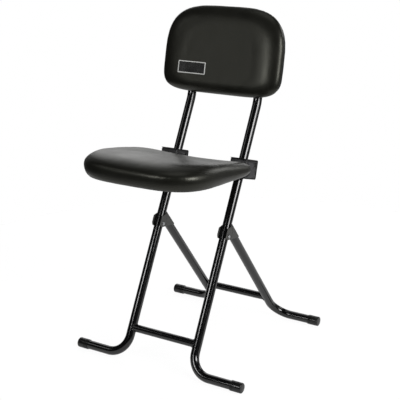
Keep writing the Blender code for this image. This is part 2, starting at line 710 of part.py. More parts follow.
def seat_under(x, y, scale):
    """Height of the pad's underside, flat inside its rounded edge."""
    forward = 0.5 - y / SEAT_DEPTH
    rim = seat_rim(forward)
    return rim - (rim + SEAT_UNDER) * roundness(scale, SEAT_UNDER_ROUND)


def seat():
    """Pad on its board, carried by two arms from the clamps."""
    rear = SEAT_REAR - ROD_CENTRE
    turn = (-SEAT_TILT, 0, 0)
    middle = rear + SEAT_TURN @ Vector((0, -SEAT_DEPTH / 2, 0))
    cushion = add(
        "seat_cushion", pad_mesh("seat_cushion", seat_outline(), seat_top, seat_under), SEAT_AXIS, BLACK_VINYL,
        middle, turn,
    )
    smooth(cushion, math.radians(80))
    pan_middle = middle + SEAT_TURN @ Vector((0, 0, PAN_TOP - PAN_THICKNESS / 2))
    board = prism_mesh("seat_pan", seat_outline(PAN_MARGIN), PAN_THICKNESS)
    pan = add("seat_pan", board, SEAT_AXIS, BOARD, pan_middle, turn)
    clamp_middle = (CLAMP_INSIDE_OUT - CLAMP_INSIDE_IN) / 2
    web = CLAMP_CENTRE - ROD_CENTRE
    screw_count = 0
    for name, side in SIDES.items():
        across = Vector((side * (TUBE_X + clamp_middle), 0, 0))
        low = (-ARM_WIDTH / 2, -ARM_REACH, ARM_TOP - ARM_HEIGHT)
        arm = add(
            f"seat_arm_{name}", box_mesh("seat_arm", low, (ARM_WIDTH / 2, ARM_REACH / 4, ARM_TOP)), SEAT_AXIS,
            GREY_STEEL, rear + across, turn,
        )
        bore_low = (-ARM_WIDTH / 2 + ARM_WALL, -2 * ARM_REACH, ARM_TOP - ARM_HEIGHT + ARM_WALL)
        bore = box_mesh("bore", bore_low, (ARM_WIDTH / 2 - ARM_WALL, ARM_REACH, ARM_TOP - ARM_WALL))
        boolean(arm, bore, rear + across, turn)
        behind = box_mesh(
            "behind", (-ARM_WIDTH, WEB_FACE - CLAMP_SHEET - GAP, -ARM_REACH), (ARM_WIDTH, ARM_REACH, ARM_REACH)
        )
        boolean(arm, behind, web + across, (-CLAMP_LEAN, 0, 0))
        for forward in (SEAT_SCREW_FIRST, ARM_REACH - SEAT_SCREW_FROM_END):
            screw_count += 1
            head_seat = rear + across + SEAT_TURN @ Vector((0, -forward, ARM_TOP - ARM_HEIGHT - GAP))
            for piece in (arm, pan):
                drill(piece, SCREW_RADIUS + HOLE_CLEARANCE, 4 * (ARM_HEIGHT + PAN_THICKNESS), head_seat, turn)
            screw(f"seat_screw_{screw_count}", ARM_HEIGHT + PAN_THICKNESS + GAP, SEAT_AXIS, head_seat, turn)


def back_outline(margin=0.0):
    """Backrest seen from the front about its widest line, with a margin taken off all round."""
    lower = BACK_HEIGHT * BACK_WIDEST - margin
    upper = BACK_HEIGHT * (1 - BACK_WIDEST) - margin
    return pad_outline(BACK_WIDTH / 2 - margin, upper, lower, BACK_CORNER_TOP, BACK_CORNER_BOTTOM)


def back_rim(x):
    """Height of the backrest pad's rim over its rear face: the sides come forward."""
    return BACK_RIM + BACK_WRAP * (2 * x / BACK_WIDTH) ** 2


def back_front(x, y, scale):
    """Height of the backrest pad's front over its rear face."""
    return back_rim(x) + (BACK_THICKNESS - BACK_RIM) * roundness(scale, BACK_ROUND)


def back_rear(x, y, scale):
    """Height of the backrest pad's rear face, flat inside its rounded edge."""
    return back_rim(x) * (1 - roundness(scale, BACK_REAR_ROUND))


def backrest():
    """Padded backrest on its panel, screwed to the front tubes."""
    turn = (BACK_TURN, 0, 0)
    widest = BACK_CENTRE + BACK_UP * BACK_HEIGHT * (BACK_WIDEST - 0.5)
    panel_middle = widest + BACK_FRONT * PANEL_THICKNESS / 2
    shell = prism_mesh("back_panel", back_outline(PANEL_MARGIN), PANEL_THICKNESS)
    panel = add("back_panel", shell, STOOL, NYLON, panel_middle, turn)
    edge = panel.modifiers.new("edge", "BEVEL")
    edge.width = PANEL_EDGE
    edge.segments = 2
    edge.limit_method = "ANGLE"
    edge.angle_limit = math.radians(60)
    pad_seat = widest + BACK_FRONT * (PANEL_THICKNESS + GAP)
    mesh = pad_mesh("back_cushion", back_outline(), back_front, back_rear)
    cushion = add("back_cushion", mesh, STOOL, BLACK_VINYL, pad_seat, turn)
    smooth(cushion, math.radians(80))
    behind_tube = BACK_FRONT * (-2 * TUBE_RADIUS - 2 * GAP)
    length = 2 * TUBE_RADIUS + PANEL_THICKNESS + GAP
    number = 0
    for side in SIDES.values():
        for rise in (-BACK_SCREW_PITCH / 2, BACK_SCREW_PITCH / 2):
            number += 1
            place = BACK_CENTRE + BACK_UP * rise + Vector((side * TUBE_X, 0, 0))
            drill(panel, SCREW_RADIUS + HOLE_CLEARANCE, 4 * PANEL_THICKNESS, place, turn)
            screw(f"back_screw_{number}", length, STOOL, place + behind_tube, turn)


front_frame()
pivot_rivets()
rear_frame()
slider()
seat_clamps()
seat()
backrest()
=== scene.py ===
"""Looks of the folding sit-stand stool: enamelled tubes, rubber feet, vinyl pads, fittings and a studio."""

import contextlib
import logging
import math
from dataclasses import dataclass
from enum import Enum
from typing import Iterator, Sequence

import bpy
from mathutils import Matrix, Vector


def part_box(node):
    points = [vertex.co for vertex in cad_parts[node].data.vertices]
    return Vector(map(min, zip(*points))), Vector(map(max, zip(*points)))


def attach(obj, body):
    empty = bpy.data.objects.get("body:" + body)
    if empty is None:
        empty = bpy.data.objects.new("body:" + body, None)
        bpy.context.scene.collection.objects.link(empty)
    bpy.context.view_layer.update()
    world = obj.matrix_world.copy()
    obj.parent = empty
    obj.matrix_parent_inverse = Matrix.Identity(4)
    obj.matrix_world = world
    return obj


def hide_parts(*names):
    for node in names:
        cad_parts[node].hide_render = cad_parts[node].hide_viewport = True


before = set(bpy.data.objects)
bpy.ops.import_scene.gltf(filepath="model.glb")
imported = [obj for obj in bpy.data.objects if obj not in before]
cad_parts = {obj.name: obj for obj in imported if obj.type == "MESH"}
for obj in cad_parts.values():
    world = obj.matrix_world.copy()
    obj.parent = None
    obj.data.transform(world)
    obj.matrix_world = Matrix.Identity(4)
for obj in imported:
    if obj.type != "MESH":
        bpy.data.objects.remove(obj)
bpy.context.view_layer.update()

LOG = logging.getLogger("stool")
MM = 0.001
SIDES = 40
BEND_STEP = math.radians(5)
BEND_LEAST = 3
SMOOTH_ANGLE = math.radians(35)
FLAT_ANGLE = math.radians(1)
EDGE_ANGLE = math.radians(30)
EDGE_SEGMENTS = 3
MERGE = 1e-6
BACK_LEAN = math.radians(12)
SEAT_TILT = math.radians(3)
ACROSS = Vector((1, 0, 0))
BACK_UP = Vector((0, math.sin(BACK_LEAN), math.cos(BACK_LEAN)))
BACK_FACING = Vector((0, -math.cos(BACK_LEAN), math.sin(BACK_LEAN)))
SEAT_DOWN = Vector((0, -math.sin(SEAT_TILT), -math.cos(SEAT_TILT)))

# Share of the relief's depth that shows.
BUMP_STRENGTH = 0.6
# How pebbles are shaped and strewn.
PEBBLES = {"feature": "SMOOTH_F1", "Smoothness": 0.35, "Randomness": 0.9}
# Roughness of the fine noise, and how it is stretched into drawn lines.
NOISE_ROUGHNESS = 0.6
DRAWN_OUT = (1, 1, 0.02)
# Detail of the slow noise, and the part of it that the gloss is spread over.
MOTTLE_DETAIL = 3.0
MOTTLE_RANGE = (0.3, 0.7)
# How sharp an edge is where its painted highlight begins, and where the painted highlight is full.
EDGE_HIGHLIGHT_RANGE = (0.52, 0.6)
# Part of a step that a dome's first ring lies out from its crown.
CROWN = 0.25
# Sockets of a mix node: its share, its two numbers, its two colours, and the colour that it gives.
MIX_SHARE, NUMBER_A, NUMBER_B, COLOUR_A, COLOUR_B, MIXED_COLOUR = 0, 2, 3, 6, 7, 2

Pair = tuple[float, float]
Triple = tuple[float, float, float]
Corner = tuple[Vector, float]
Profile = Sequence[Pair]


class Body(Enum):
    """Rigid bodies of the stool."""

    FRONT = "front_frame"
    REAR = "rear_frame"
    SLIDER = "slider"
    SEAT = "seat"


class Slot(Enum):
    """Finish slots of the record."""

    ENAMEL = "black_enamel"
    VINYL = "black_vinyl"
    RUBBER = "foot_rubber"
    POWDER = "grey_powder_coat"
    ZINC = "zinc_plate"
    NYLON = "black_nylon"
    BOARD = "seat_board"


class Side(Enum):
    """Sides of the stool, seen from its front."""

    LEFT = -1
    RIGHT = 1

    @property
    def word(self) -> str:
        """Name of the side in piece names."""
        return self.name.lower()


class Grain(Enum):
    """Kinds of fine surface relief."""

    PEEL = "orange peel of sprayed enamel"
    PEBBLE = "pressed pebble grain"
    GRIT = "grit of powder coat or moulded rubber"
    BRUSHED = "fine drawn lines"


NOISE_DETAIL = {Grain.PEEL: 1.0, Grain.GRIT: 3.0, Grain.BRUSHED: 2.0}


def linear(colour: str) -> tuple[float, float, float, float]:
    """Turns an sRGB hex colour into linear RGBA.

    Args:
        colour: Colour such as "#1c1c1d".

    Returns:
        Linear red, green, blue and an alpha of 1.
    """
    values = [int(colour[i : i + 2], 16) / 255 for i in (1, 3, 5)]
    red, green, blue = (v / 12.92 if v <= 0.04045 else ((v + 0.055) / 1.055) ** 2.4 for v in values)
    return red, green, blue, 1.0


def add_node(tree: bpy.types.NodeTree, kind: str, settings: dict, links: dict) -> bpy.types.NodeOutputs:
    """Adds a shader node with its settings and links.

    Args:
        tree: Node tree to add to.
        kind: Type of the shader node.
        settings: Values by socket name or number, or else by attribute.
        links: Source sockets by the name or number of the socket that they feed.

    Returns:
        The node's outputs.
    """
    node = tree.nodes.new(f"ShaderNode{kind}")
    for key, value in settings.items():
        if isinstance(key, int) or key in node.inputs:
            node.inputs[key].default_value = value
        else:
            setattr(node, key, value)
    for key, source in links.items():
        tree.links.new(source, node.inputs[key])
    return node.outputs


def ramp(
    tree: bpy.types.NodeTree,
    value: bpy.types.NodeSocket,
    source: Pair = (0.0, 1.0),
    target: Pair = (0.0, 1.0),
    kind: str = "LINEAR",
) -> bpy.types.NodeSocket:
    """Adds a node that spreads one range of values over another.

    Args:
        tree: Node tree to add to.
        value: The value.
        source: Values where the result starts and ends.
        target: The result there.
        kind: How the result runs between them.

    Returns:
        The result.
    """
    settings = {"interpolation_type": kind, "From Min": source[0], "From Max": source[1]}
    settings |= {"To Min": target[0], "To Max": target[1]}
    return add_node(tree, "MapRange", settings, {"Value": value})[0]


@dataclass(frozen=True)
class Finish:
    """A surface finish, from what the material is and how it was made.

    The relief has a size and a depth in millimetres. Mottling is the slow change of gloss over the piece.
    """

    name: str
    colour: str
    shade: str
    roughness: Pair
    grain: Grain
    grain_mm: float
    depth_mm: float
    mottle_mm: float = 40.0
    metallic: float = 0.0
    ior: float = 1.5
    # Paler colour on sharp edges and rims, a painted highlight.
    edge_highlight_colour: str = ""
    tint: str = "#ffffff"

    def relief(self, tree: bpy.types.NodeTree, place: bpy.types.NodeSocket) -> bpy.types.NodeSocket:
        """Adds the nodes of the fine relief.

        Args:
            tree: The material's nodes.
            place: Object coordinates.

        Returns:
            The relief's height.
        """
        per_metre = 1 / (self.grain_mm * MM)
        if self.grain is Grain.PEBBLE:
            settings = PEBBLES | {"Scale": per_metre}
            return add_node(tree, "TexVoronoi", settings, {"Vector": place})["Distance"]
        stretch = DRAWN_OUT if self.grain is Grain.BRUSHED else (1, 1, 1)
        mapped = add_node(tree, "Mapping", {"Scale": stretch}, {"Vector": place})[0]
        settings = {"Scale": per_metre, "Detail": NOISE_DETAIL[self.grain], "Roughness": NOISE_ROUGHNESS}
        return add_node(tree, "TexNoise", settings, {"Vector": mapped})[0]

    def material(self) -> bpy.types.Material:
        """Builds the material, or finds it if it is built already.

        Returns:
            The material.
        """
        made = bpy.data.materials.get(self.name)
        if made:
            return made
        made = bpy.data.materials.new(self.name)
        made.use_nodes = True
        tree = made.node_tree
        shader = tree.nodes["Principled BSDF"]
        shader.inputs["Metallic"].default_value = self.metallic
        shader.inputs["IOR"].default_value = self.ior
        shader.inputs["Specular Tint"].default_value = linear(self.tint)
        place = add_node(tree, "TexCoord", {}, {})["Object"]
        slow = {"Scale": 1 / (self.mottle_mm * MM), "Detail": MOTTLE_DETAIL}
        mottle = add_node(tree, "TexNoise", slow, {"Vector": place})[0]
        tree.links.new(ramp(tree, mottle, MOTTLE_RANGE, self.roughness), shader.inputs["Roughness"])
        shades = {"data_type": "RGBA", COLOUR_A: linear(self.colour), COLOUR_B: linear(self.shade)}
        colour = add_node(tree, "Mix", shades, {MIX_SHARE: mottle})[MIXED_COLOUR]
        # Sharp edges, and faces bounded only by them, take the paler colour as a painted highlight.
        if self.edge_highlight_colour:
            sharp = add_node(tree, "NewGeometry", {}, {})["Pointiness"]
            painted_edge_highlight = {MIX_SHARE: ramp(tree, sharp, EDGE_HIGHLIGHT_RANGE), COLOUR_A: colour}
            paler = {"data_type": "RGBA", COLOUR_B: linear(self.edge_highlight_colour)}
            colour = add_node(tree, "Mix", paler, painted_edge_highlight)[MIXED_COLOUR]
        tree.links.new(colour, shader.inputs["Base Color"])
        raised = {"Strength": BUMP_STRENGTH, "Distance": self.depth_mm * MM}
        bump = add_node(tree, "Bump", raised, {"Height": self.relief(tree, place)})[0]
        tree.links.new(bump, shader.inputs["Normal"])
        return made


# Stoved enamel on drawn steel tube: deep black with sharp streaks of light and a faint orange peel.
ENAMEL = Finish("black_stoved_enamel", "#040405", "#070708", (0.13, 0.17), Grain.PEEL, 25.0, 0.0005, ior=1.65)
# PVC-coated cloth pressed with a pebble grain: satin, warm black. The 0.7 mm grain is drawn at 1.6 mm.
VINYL = Finish(
    "black_vinyl_pebbled", "#10100d", "#171713", (0.32, 0.40), Grain.PEBBLE, 1.6, 0.08, 60.0, tint="#fffff0"
)
# Rubber from a polished mould: nearly black, glossy, with a fine grit; its edges and end face are painted
# paler as a painted highlight.
RUBBER = Finish(
    "moulded_black_rubber", "#0a0a0a", "#0f0f0f", (0.20, 0.28),
    Grain.GRIT, 1.2, 0.03, 12.0, edge_highlight_colour="#1c1c1b",
)
# Textured powder coat on folded steel sheet: dark grey, painted paler along its edges as the highlight of its
# folds.
POWDER = Finish(
    "dark_powder_coat", "#151516", "#1c1c1d", (0.42, 0.55), Grain.GRIT, 1.0, 0.10, 15.0, edge_highlight_colour="#3e3e40"
)
# Thinner powder coat on the small pivot brackets: mid grey, with a painted highlight along their folds.
BRACKET = Finish(
    "mid_powder_coat", "#3a3a38", "#434341", (0.40, 0.52), Grain.GRIT, 1.0, 0.08, 15.0, edge_highlight_colour="#9a9a96"
)
# Blackened steel of the lock pins: dark, oiled, with fine drawn lines.
BLACKENED = Finish("blackened_steel", "#1a1a1b", "#232324", (0.38, 0.48), Grain.BRUSHED, 0.6, 0.02, 5.0)
# Bright zinc plate on turned steel: pale metal with fine drawn lines.
ZINC = Finish(
    "bright_zinc_plate", "#b4b6b8", "#c9cbcc", (0.22, 0.34), Grain.BRUSHED, 0.6, 0.02, 5.0, metallic=1.0
)
# Moulded nylon: matt black with a slight sheen.
NYLON = Finish("moulded_black_nylon", "#0e0e0f", "#141415", (0.40, 0.50), Grain.GRIT, 1.4, 0.05, 25.0)
# Stained plywood board under the seat pad, dark brown, matt.
BOARD = Finish("stained_board", "#221c18", "#32291f", (0.6, 0.72), Grain.BRUSHED, 2.5, 0.15, 18.0)
# Weld seam under the enamel: rippled, less glossy than the tube.
WELD = Finish("enamelled_weld", "#09090a", "#111112", (0.2, 0.35), Grain.GRIT, 2.2, 0.35, 6.0)
# Edge of the small plate on the backrest, metal whose bright reflection is painted as a pale colour, and the
# plate's blank dark face.
PLATE_EDGE_PAINTED_REFLECTION = Finish("pale_lacquer", "#d9dad7", "#cfd0cd", (0.35, 0.45), Grain.BRUSHED, 0.8, 0.01, 8.0)
PLATE_FACE = Finish("dark_lacquer", "#141514", "#1b1c1a", (0.22, 0.3), Grain.PEEL, 2.0, 0.01, 12.0)


def deselect() -> None:
    """Deselects every object."""
    bpy.ops.object.select_all(action="DESELECT")


def activate(obj: bpy.types.Object) -> None:
    """Makes an object the only selected one, and the active one.

    Args:
        obj: The object.
    """
    deselect()
    obj.select_set(True)
    bpy.context.view_layer.objects.active = obj


@contextlib.contextmanager
def editing(obj: bpy.types.Object) -> Iterator[None]:
    """Edit mode on an object, with all of its mesh selected at first.

    Args:
        obj: The object.

    Yields:
        Nothing, once the object is in edit mode.
    """
    activate(obj)
    bpy.ops.object.mode_set(mode="EDIT")
    bpy.ops.mesh.select_all(action="SELECT")
    yield
    bpy.ops.object.mode_set(mode="OBJECT")


def named(name: str) -> bpy.types.Object:
    """Names the active object and its mesh, and puts its place into its mesh.

    Args:
        name: The name.

    Returns:
        The object.
    """
    obj = bpy.context.active_object
    obj.name = obj.data.name = name
    activate(obj)
    bpy.ops.object.transform_apply(location=True, rotation=True, scale=True)
    return obj


def finish_with(obj: bpy.types.Object, kind: str, **settings: object) -> None:
    """Adds a modifier and applies it.

    Args:
        obj: The object.
        kind: Type of the modifier.
        **settings: The modifier's settings by attribute.
    """
    activate(obj)
    modifier = obj.modifiers.new(kind.lower(), kind)
    for key, value in settings.items():
        setattr(modifier, key, value)
    bpy.ops.object.modifier_apply(modifier=modifier.name)


def smooth(obj: bpy.types.Object, angle: float = SMOOTH_ANGLE) -> None:
    """Shades the object smooth, with edges sharper than the angle kept."""
    activate(obj)
    bpy.ops.object.shade_smooth_by_angle(angle=angle)


def face_outwards(obj: bpy.types.Object) -> None:
    """Merges doubles and turns the faces outwards.

    Args:
        obj: The object.
    """
    with editing(obj):
        bpy.ops.mesh.remove_doubles(threshold=MERGE)
        bpy.ops.mesh.select_all(action="SELECT")
        bpy.ops.mesh.normals_make_consistent(inside=False)


def extrude(move: Vector) -> None:
    """Extrudes what is selected in edit mode along a move."""
    bpy.ops.mesh.extrude_region_move(TRANSFORM_OT_translate={"value": tuple(move)})


def bent_tube(name: str, corners: Sequence[Corner], radius: float, wall: float) -> bpy.types.Object:
    """Models a bent tube: a ring drawn along the straights and spun round the bends.

    Args:
        name: Name of the piece.
        corners: Points of the axis, each with its bend radius. The first and last are the ends.
        radius: Outer radius.
        wall: Wall thickness.

    Returns:
        The tube, closed at its rims.
    """
    place = corners[0][0]
    heading = (corners[1][0] - place).normalized()
    deselect()
    turn = heading.to_track_quat("Z", "Y").to_euler()
    bpy.ops.mesh.primitive_circle_add(vertices=SIDES, radius=radius, location=place, rotation=turn)
    tube = named(name)
    with editing(tube):
        for (before, _), (corner, bend_radius), (after, _) in zip(corners, corners[1:], corners[2:]):
            arriving, leaving = (corner - before).normalized(), (after - corner).normalized()
            bend = arriving.angle(leaving)
            reach = bend_radius * math.tan(bend / 2)
            inward = (leaving - arriving * arriving.dot(leaving)).normalized()
            extrude(corner - arriving * reach - place)
            bpy.ops.mesh.spin(
                steps=max(BEND_LEAST, round(bend / BEND_STEP)),
                angle=-bend,
                center=corner - arriving * reach + inward * bend_radius,
                axis=arriving.cross(inward),
            )
            place = corner + leaving * reach
        extrude(corners[-1][0] - place)
    face_outwards(tube)
    finish_with(tube, "SOLIDIFY", thickness=wall, offset=-1)
    smooth(tube)
    return tube


def turned(name: str, profile: Profile, place: Matrix, sides: int = SIDES) -> bpy.types.Object:
    """Models a turned piece: a disc extruded along its axis and scaled at each step.

    Args:
        name: Name of the piece.
        profile: Radius and height of each ring. The first and last rings are closed by a face.
        place: Where the piece's axis and zero height go.
        sides: Sides round the axis.

    Returns:
        The piece.
    """
    radius, height = profile[0]
    deselect()
    start = (0, 0, height)
    bpy.ops.mesh.primitive_circle_add(vertices=sides, radius=radius, fill_type="NGON", location=start)
    piece = named(name)
    with editing(piece):
        for next_radius, next_height in profile[1:]:
            extrude(Vector((0, 0, next_height - height)))
            scale = next_radius / radius
            bpy.ops.transform.resize(value=(scale, scale, scale), center_override=(0, 0, next_height))
            radius, height = next_radius, next_height
    face_outwards(piece)
    piece.data.transform(place)
    smooth(piece)
    return piece


def copied(node: str, name: str) -> bpy.types.Object:
    """Copies a node's solid into a new piece with its loose faces merged.

    Args:
        node: Name of the node.
        name: Name of the new piece.

    Returns:
        The new piece.
    """
    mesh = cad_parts[node].data.copy()
    mesh.materials.clear()
    mesh.name = name
    piece = bpy.data.objects.new(name, mesh)
    bpy.context.scene.collection.objects.link(piece)
    activate(piece)
    bpy.ops.mesh.customdata_custom_splitnormals_clear()
    with editing(piece):
        bpy.ops.mesh.remove_doubles(threshold=MERGE)
    return piece


def bevel(piece: bpy.types.Object, width: float, angle: float = EDGE_ANGLE) -> None:
    """Rounds the edges of a piece that are sharper than an angle, and shades it smooth.

    Args:
        piece: The piece.
        width: Width of the rounding.
        angle: Edges sharper than this are rounded.
    """
    limits = {"limit_method": "ANGLE", "angle_limit": angle}
    finish_with(piece, "BEVEL", width=width, segments=EDGE_SEGMENTS, **limits)
    smooth(piece)


def eased(node: str, name: str, width: float, angle: float = EDGE_ANGLE) -> bpy.types.Object:
    """Copies a node's solid and rounds its sharp edges.

    Args:
        node: Name of the node.
        name: Name of the new piece.
        width: Width of the rounding.
        angle: Edges sharper than this are rounded.

    Returns:
        The new piece.
    """
    piece = copied(node, name)
    with editing(piece):
        bpy.ops.mesh.dissolve_limited(angle_limit=FLAT_ANGLE)
    bevel(piece, width, angle)
    return piece


def dress(obj: bpy.types.Object, body: Body, slot: Slot, finish: Finish, *nodes: str) -> None:
    """Gives a piece its finish and its body.

    Args:
        obj: The piece.
        body: Body that it rides on.
        slot: Finish slot of the record; not used.
        finish: Its finish.
        *nodes: Nodes that it stands for.
    """
    obj.data.materials.clear()
    obj.data.materials.append(finish.material())
    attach(obj, body.value)
    if nodes:
        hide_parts(*nodes)
    LOG.info("%s rides on %s", obj.name, body.value)


def middle(node: str) -> Vector:
    """Middle of a node's box."""
    low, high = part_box(node)
    return (low + high) / 2


def along(direction: Vector, origin: Vector) -> Matrix:
    """Placement that puts a turned piece's axis along a direction from a point."""
    return Matrix.Translation(origin) @ direction.to_track_quat("Z", "Y").to_matrix().to_4x4()


def dome(radius: float, height: float, steps: int = 6) -> list[Pair]:
    """Rings of a low dome, from near its crown down to its edge.

    Args:
        radius: Radius of the edge.
        height: Height of the crown over the edge.
        steps: Number of rings.

    Returns:
        Radius and height of each ring.
    """
    angles = [math.pi / 2 * (1 - (i + CROWN) / (steps + CROWN)) for i in range(steps + 1)]
    return [(radius * math.cos(a), height * math.sin(a)) for a in angles]


@dataclass
class TubeLeg:
    """What the front and rear frames share: bent legs with outward feet, rubber caps and a welded crossbar.

    The rings of a cap's rounded end, lip and grooves are given by how far they stand in from the side and how
    far they lie from where that part starts. A ripple of a weld has a height, a count and a start.
    """

    body: Body
    prefix: str
    foot_bend: float = 58 * MM
    spacing: float = 220 * MM
    radius: float = 12.7 * MM
    wall: float = 1.5 * MM
    bar_radius: float = 11 * MM
    bar_wall: float = 1.2 * MM
    cap_radius: float = 14.5 * MM
    cap_end_wall: float = 4 * MM
    cap_end: Profile = ((3 * MM, 0.0), (1.2 * MM, 0.4 * MM), (0.3 * MM, 1.3 * MM), (0.0, 2.6 * MM))
    cap_lip: Pair = (0.5 * MM, 0.6 * MM)
    cap_inner_flat: float = 1 * MM
    gap: float = 0.3 * MM
    bar_sunk: float = 1 * MM
    weld_radius: float = 1.7 * MM
    weld_rise: float = 0.4 * MM
    weld_segments: tuple[int, int] = (72, 12)
    weld_ripples: tuple[tuple[float, int, float], ...] = ((0.16, 18, 0.0), (0.08, 5, 1.0))
    weld_smooth: float = math.radians(60)
    rib_count: int = 3
    rib_pitch: float = 3 * MM
    rib_margin: float = 2 * MM
    rib_groove: Profile = ((0.0, 0.0), (0.7 * MM, 0.4 * MM), (0.7 * MM, 1.1 * MM), (0.0, 1.5 * MM))

    def foot_axis(self) -> Vector:
        """Point of the feet's axis in the middle plane."""
        place = middle(f"{self.prefix}_foot_cap_left")
        return Vector((0, place.y, place.z))

    def foot_corners(self, side: Side) -> list[Corner]:
        """End of a foot and the corner of its bend.

        Args:
            side: Side of the stool.

        Returns:
            The first two corners of the leg.
        """
        foot = self.foot_axis()
        tip = self.cap_tip(side).x - side.value * (self.cap_end_wall + self.gap)
        return [(foot + ACROSS * tip, 0.0), (foot + self.across(side), self.foot_bend)]

    def cap_tip(self, side: Side) -> Vector:
        """Middle of a cap's outer end.

        Args:
            side: Side of the stool.

        Returns:
            The point.
        """
        node = f"{self.prefix}_foot_cap_{side.word}"
        low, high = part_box(node)
        tip = middle(node)
        tip.x = high.x if side is Side.RIGHT else low.x
        return tip

    def across(self, side: Side) -> Vector:
        """Sideways step from the middle plane to a leg."""
        return ACROSS * (side.value * self.spacing / 2)

    def cap(self, side: Side) -> None:
        """Models the ribbed rubber cup on a foot's end.

        Args:
            side: Side of the stool.
        """
        node = f"{self.prefix}_foot_cap_{side.word}"
        low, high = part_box(node)
        length = high.x - low.x
        bore = self.radius + self.gap
        outer = self.cap_radius
        rings = [(outer - inset, -depth) for inset, depth in self.cap_end]
        first_rib = length - self.rib_margin - self.rib_count * self.rib_pitch
        for rib in range(self.rib_count):
            start = first_rib + rib * self.rib_pitch
            rings += [(outer - inset, -start - depth) for inset, depth in self.rib_groove]
        lip_inset, lip_depth = self.cap_lip
        rings += [
            (outer, -length + lip_depth),
            (outer - lip_inset, -length),
            (bore, -length),
            (bore, -self.cap_end_wall),
            (self.cap_inner_flat, -self.cap_end_wall),
        ]
        place = along(ACROSS * side.value, self.cap_tip(side))
        piece = turned(f"{self.prefix}_foot_{side.word}_rubber", rings, place)
        dress(piece, self.body, Slot.RUBBER, RUBBER, node)

    def crossbar(self, leg_up: Vector) -> None:
        """Models the crossbar and the weld beads at its ends.

        Args:
            leg_up: Direction of the legs at the crossbar.
        """
        node = f"{self.prefix}_crossbar"
        centre = middle(node)
        reach = self.spacing / 2 - math.sqrt(self.radius**2 - self.bar_radius**2) + self.bar_sunk
        ends = [(Vector((x, centre.y, centre.z)), 0.0) for x in (-reach, reach)]
        bar = bent_tube(f"{node}_tube", ends, self.bar_radius, self.bar_wall)
        dress(bar, self.body, Slot.ENAMEL, ENAMEL, node)
        sideways = ACROSS.cross(leg_up).normalized()
        for side in Side:
            bead = self.weld(f"{self.prefix}_weld_{side.word}", centre, sideways, side)
            dress(bead, self.body, Slot.ENAMEL, WELD)

    def weld(self, name: str, centre: Vector, sideways: Vector, side: Side) -> bpy.types.Object:
        """Models the rippled bead where the crossbar meets a leg.

        Args:
            name: Name of the piece.
            centre: Middle of the crossbar.
            sideways: Direction square to the crossbar and to the leg.
            side: Side of the stool.

        Returns:
            The bead.
        """
        ring = self.bar_radius + self.weld_rise
        round_ring, round_bead = self.weld_segments
        deselect()
        bpy.ops.mesh.primitive_torus_add(
            major_segments=round_ring,
            minor_segments=round_bead,
            major_radius=ring,
            minor_radius=self.weld_radius,
            location=(0, 0, 0),
            rotation=(0, math.pi / 2, 0),
        )
        bead = named(name)
        for vertex in bead.data.vertices:
            spoke = Vector((0, vertex.co.y, vertex.co.z))
            angle = math.atan2(spoke.z, spoke.y)
            rim = spoke.normalized() * ring
            waves = [height * math.sin(count * angle + start) for height, count, start in self.weld_ripples]
            swollen = rim + (vertex.co - rim) * (1 + sum(waves))
            lean = rim.dot(sideways)
            saddle = math.sqrt(self.radius**2 - lean**2)
            swollen.x = -side.value * (saddle - swollen.x * -side.value)
            vertex.co = swollen + centre + self.across(side)
        face_outwards(bead)
        smooth(bead, self.weld_smooth)
        return bead


@dataclass
class FrontFrame(TubeLeg):
    """Front legs that rise behind the backrest, with plugs in their upper ends and the folding rivets."""

    body: Body = Body.FRONT
    prefix: str = "front"
    lean: float = math.radians(27.5)
    back_bend_height: float = 708 * MM
    back_bend: float = 100 * MM
    above_bend: float = 232 * MM
    plug_head: float = 3 * MM
    plug_inset: float = 0.2 * MM
    plug_rim: float = 0.1 * MM
    plug_depth: float = 16 * MM
    plug_chamfer: float = 1 * MM
    rivet_radius: float = 3 * MM
    rivet_head: float = 5.5 * MM
    rivet_height: float = 2.5 * MM
    rivet_rim: float = 0.5 * MM

    def up(self) -> Vector:
        """Direction of the tubes below the backrest."""
        return Vector((0, math.sin(self.lean), math.cos(self.lean)))

    def back_corner(self) -> Vector:
        """Corner of the bend under the backrest, in the middle plane."""
        foot = self.foot_axis()
        return foot + self.up() * ((self.back_bend_height - foot.z) / math.cos(self.lean))

    def build(self) -> None:
        """Models the frame's pieces."""
        top = self.back_corner() + BACK_UP * self.above_bend
        for side in Side:
            step = self.across(side)
            corners = self.foot_corners(side)
            corners += [(self.back_corner() + step, self.back_bend), (top + step, 0.0)]
            leg = bent_tube(f"front_leg_{side.word}_tube", corners, self.radius, self.wall)
            dress(leg, self.body, Slot.ENAMEL, ENAMEL, f"front_leg_{side.word}")
            self.cap(side)
            self.plug(side, top + step)
            self.rivet(side)
        self.crossbar(self.up())

    def plug(self, side: Side, tip: Vector) -> None:
        """Models the domed plug in a tube's upper end.

        Args:
            side: Side of the stool.
            tip: Middle of the tube's end.
        """
        bore = self.radius - self.wall - 2 * self.gap
        head = self.radius - self.plug_inset
        rings = dome(head, self.plug_head) + [(head, -self.plug_rim), (bore, -self.plug_rim)]
        rings += [(bore, self.plug_chamfer - self.plug_depth), (bore - self.plug_chamfer, -self.plug_depth)]
        piece = turned(f"tube_end_{side.word}", rings, along(BACK_UP, tip + BACK_UP * self.gap))
        dress(piece, self.body, Slot.NYLON, NYLON, f"tube_plug_{side.word}")

    def rivet(self, side: Side) -> None:
        """Models the rivet that the rear leg folds on, with a domed head at each end.

        Args:
            side: Side of the stool.
        """
        node = f"pivot_rivet_{side.word}"
        low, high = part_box(node)
        half = (high.x - low.x) / 2
        seat = half - self.rivet_height
        head = dome(self.rivet_head, self.rivet_height - self.rivet_rim)
        rings = [(r, z + seat + self.rivet_rim) for r, z in head]
        rings += [(self.rivet_head, seat), (self.rivet_radius, seat)]
        rings += [(r, -z) for r, z in reversed(rings)]
        piece = turned(f"fold_rivet_{side.word}", rings, along(ACROSS, middle(node)))
        dress(piece, self.body, Slot.ZINC, ZINC, node)


